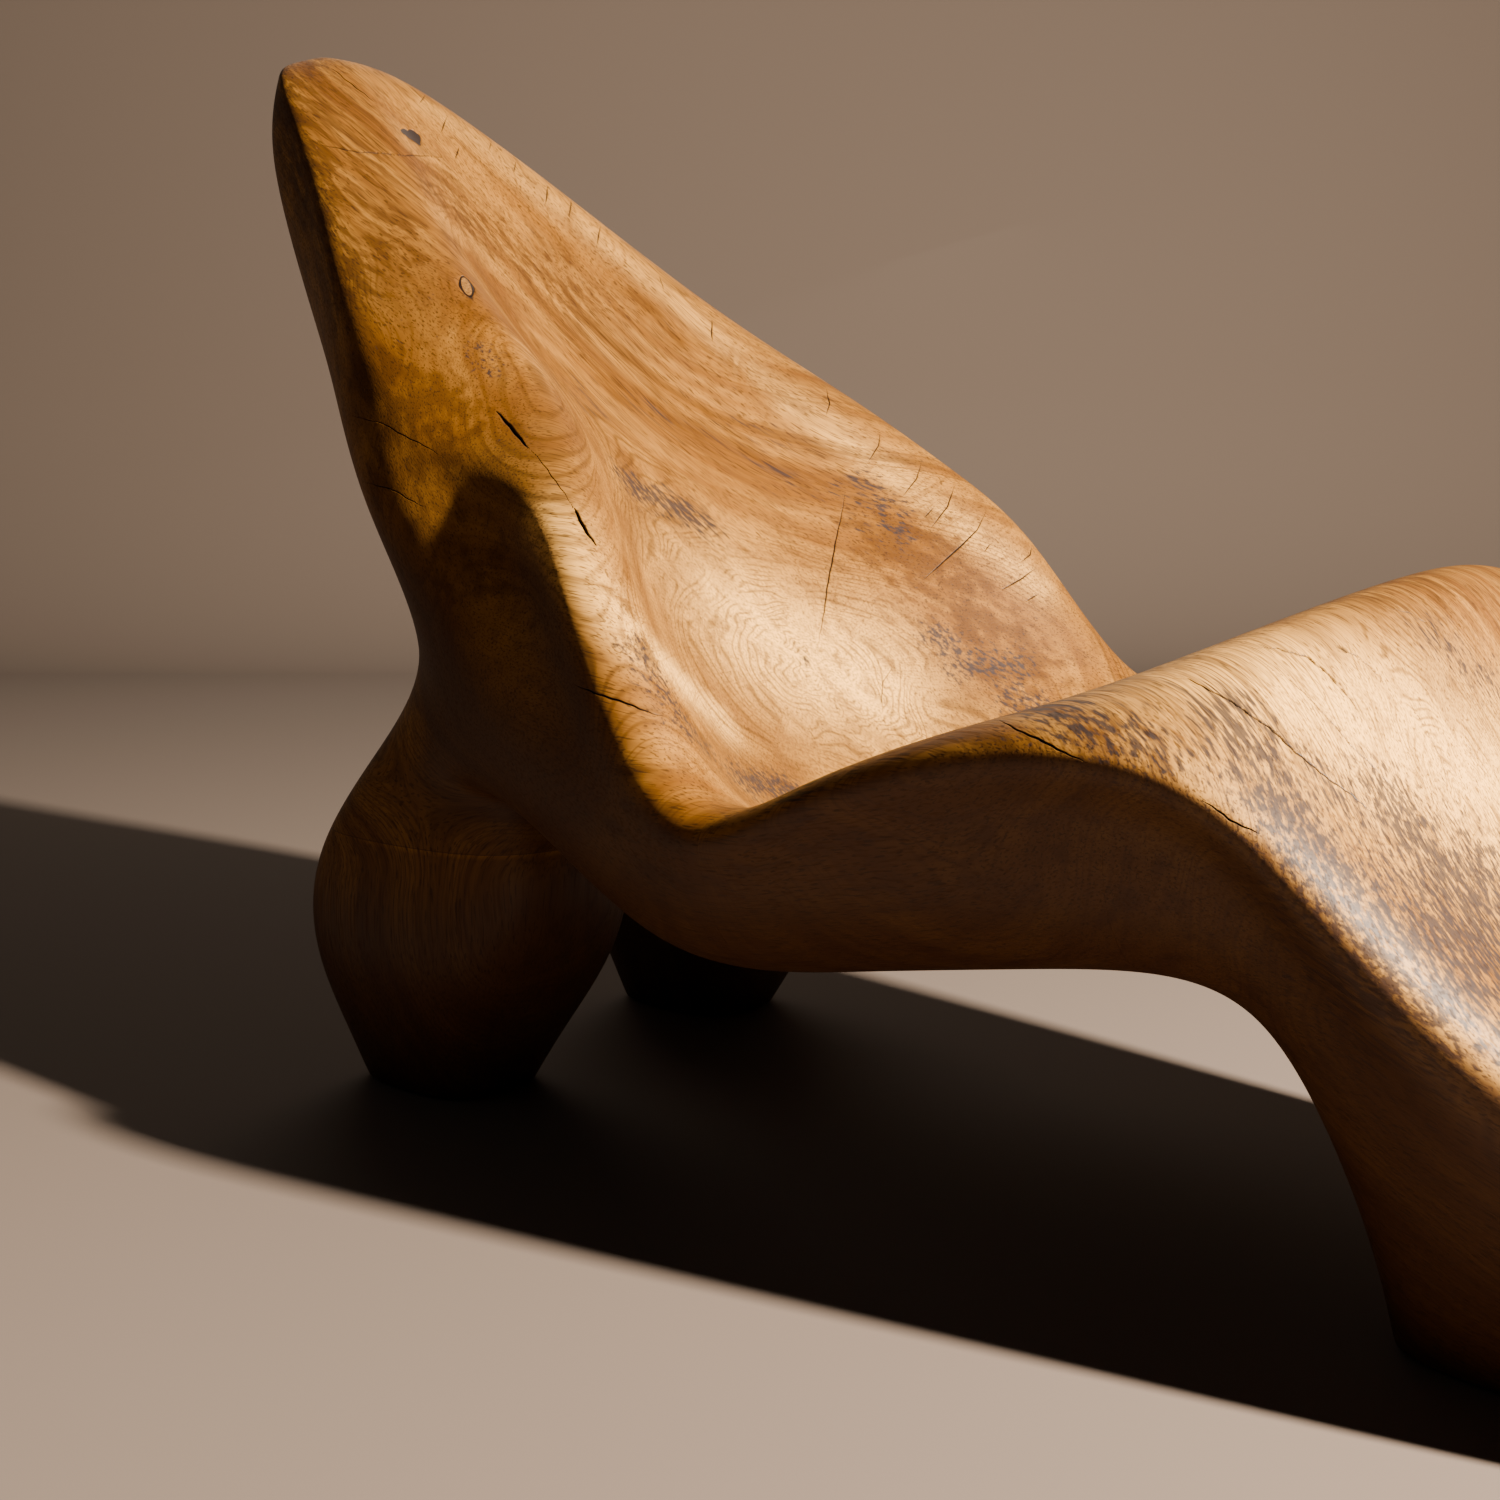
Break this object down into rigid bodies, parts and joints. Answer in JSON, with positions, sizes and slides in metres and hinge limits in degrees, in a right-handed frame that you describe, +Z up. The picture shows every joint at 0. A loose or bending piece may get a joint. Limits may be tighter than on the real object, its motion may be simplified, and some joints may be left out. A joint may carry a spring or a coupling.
{
  "type": "chaise longue",
  "caption": "Sculptural carved-wood chaise longue: leaf-shaped dished backrest, valley seat, raised knee crest and sloping leg rest on bulbous rear legs.",
  "frame": {"origin": "on the floor, under the centre of the bounding box", "axes": "+X towards the foot end, +Y to the sitter's left, +Z up"},
  "size_m": [1.535, 0.663, 0.93],
  "materials": {
    "oiled_hardwood": "oiled and polished golden-brown hardwood, satin gloss, growth rings and drying checks",
    "joinery_hardwood": "planed hardwood, unfinished",
    "plug_wood": "end-grain plug, oiled flush",
    "dark_resin": "dark knot filling, sanded flush",
    "felt": "dense brown wool felt"
  },
  "bodies": {
    "root": {"backrest": "oiled_hardwood", "seat": "oiled_hardwood", "leg_rest": "oiled_hardwood", "rear_leg_right": "oiled_hardwood", "rear_leg_left": "oiled_hardwood", "back_tenon_1": "joinery_hardwood", "back_tenon_2": "joinery_hardwood", "back_tenon_3": "joinery_hardwood", "knee_tenon_1": "joinery_hardwood", "knee_tenon_2": "joinery_hardwood", "knee_tenon_3": "joinery_hardwood", "leg_dowel_right_1": "joinery_hardwood", "leg_dowel_right_2": "joinery_hardwood", "leg_dowel_left_1": "joinery_hardwood", "leg_dowel_left_2": "joinery_hardwood", "knot_plug": "plug_wood", "knot_filling": "dark_resin", "pad_rear_right": "felt", "pad_rear_left": "felt", "pad_heel_right": "felt", "pad_heel_left": "felt", "pad_toe_right": "felt", "pad_toe_left": "felt"}
  },
  "joints": []
}
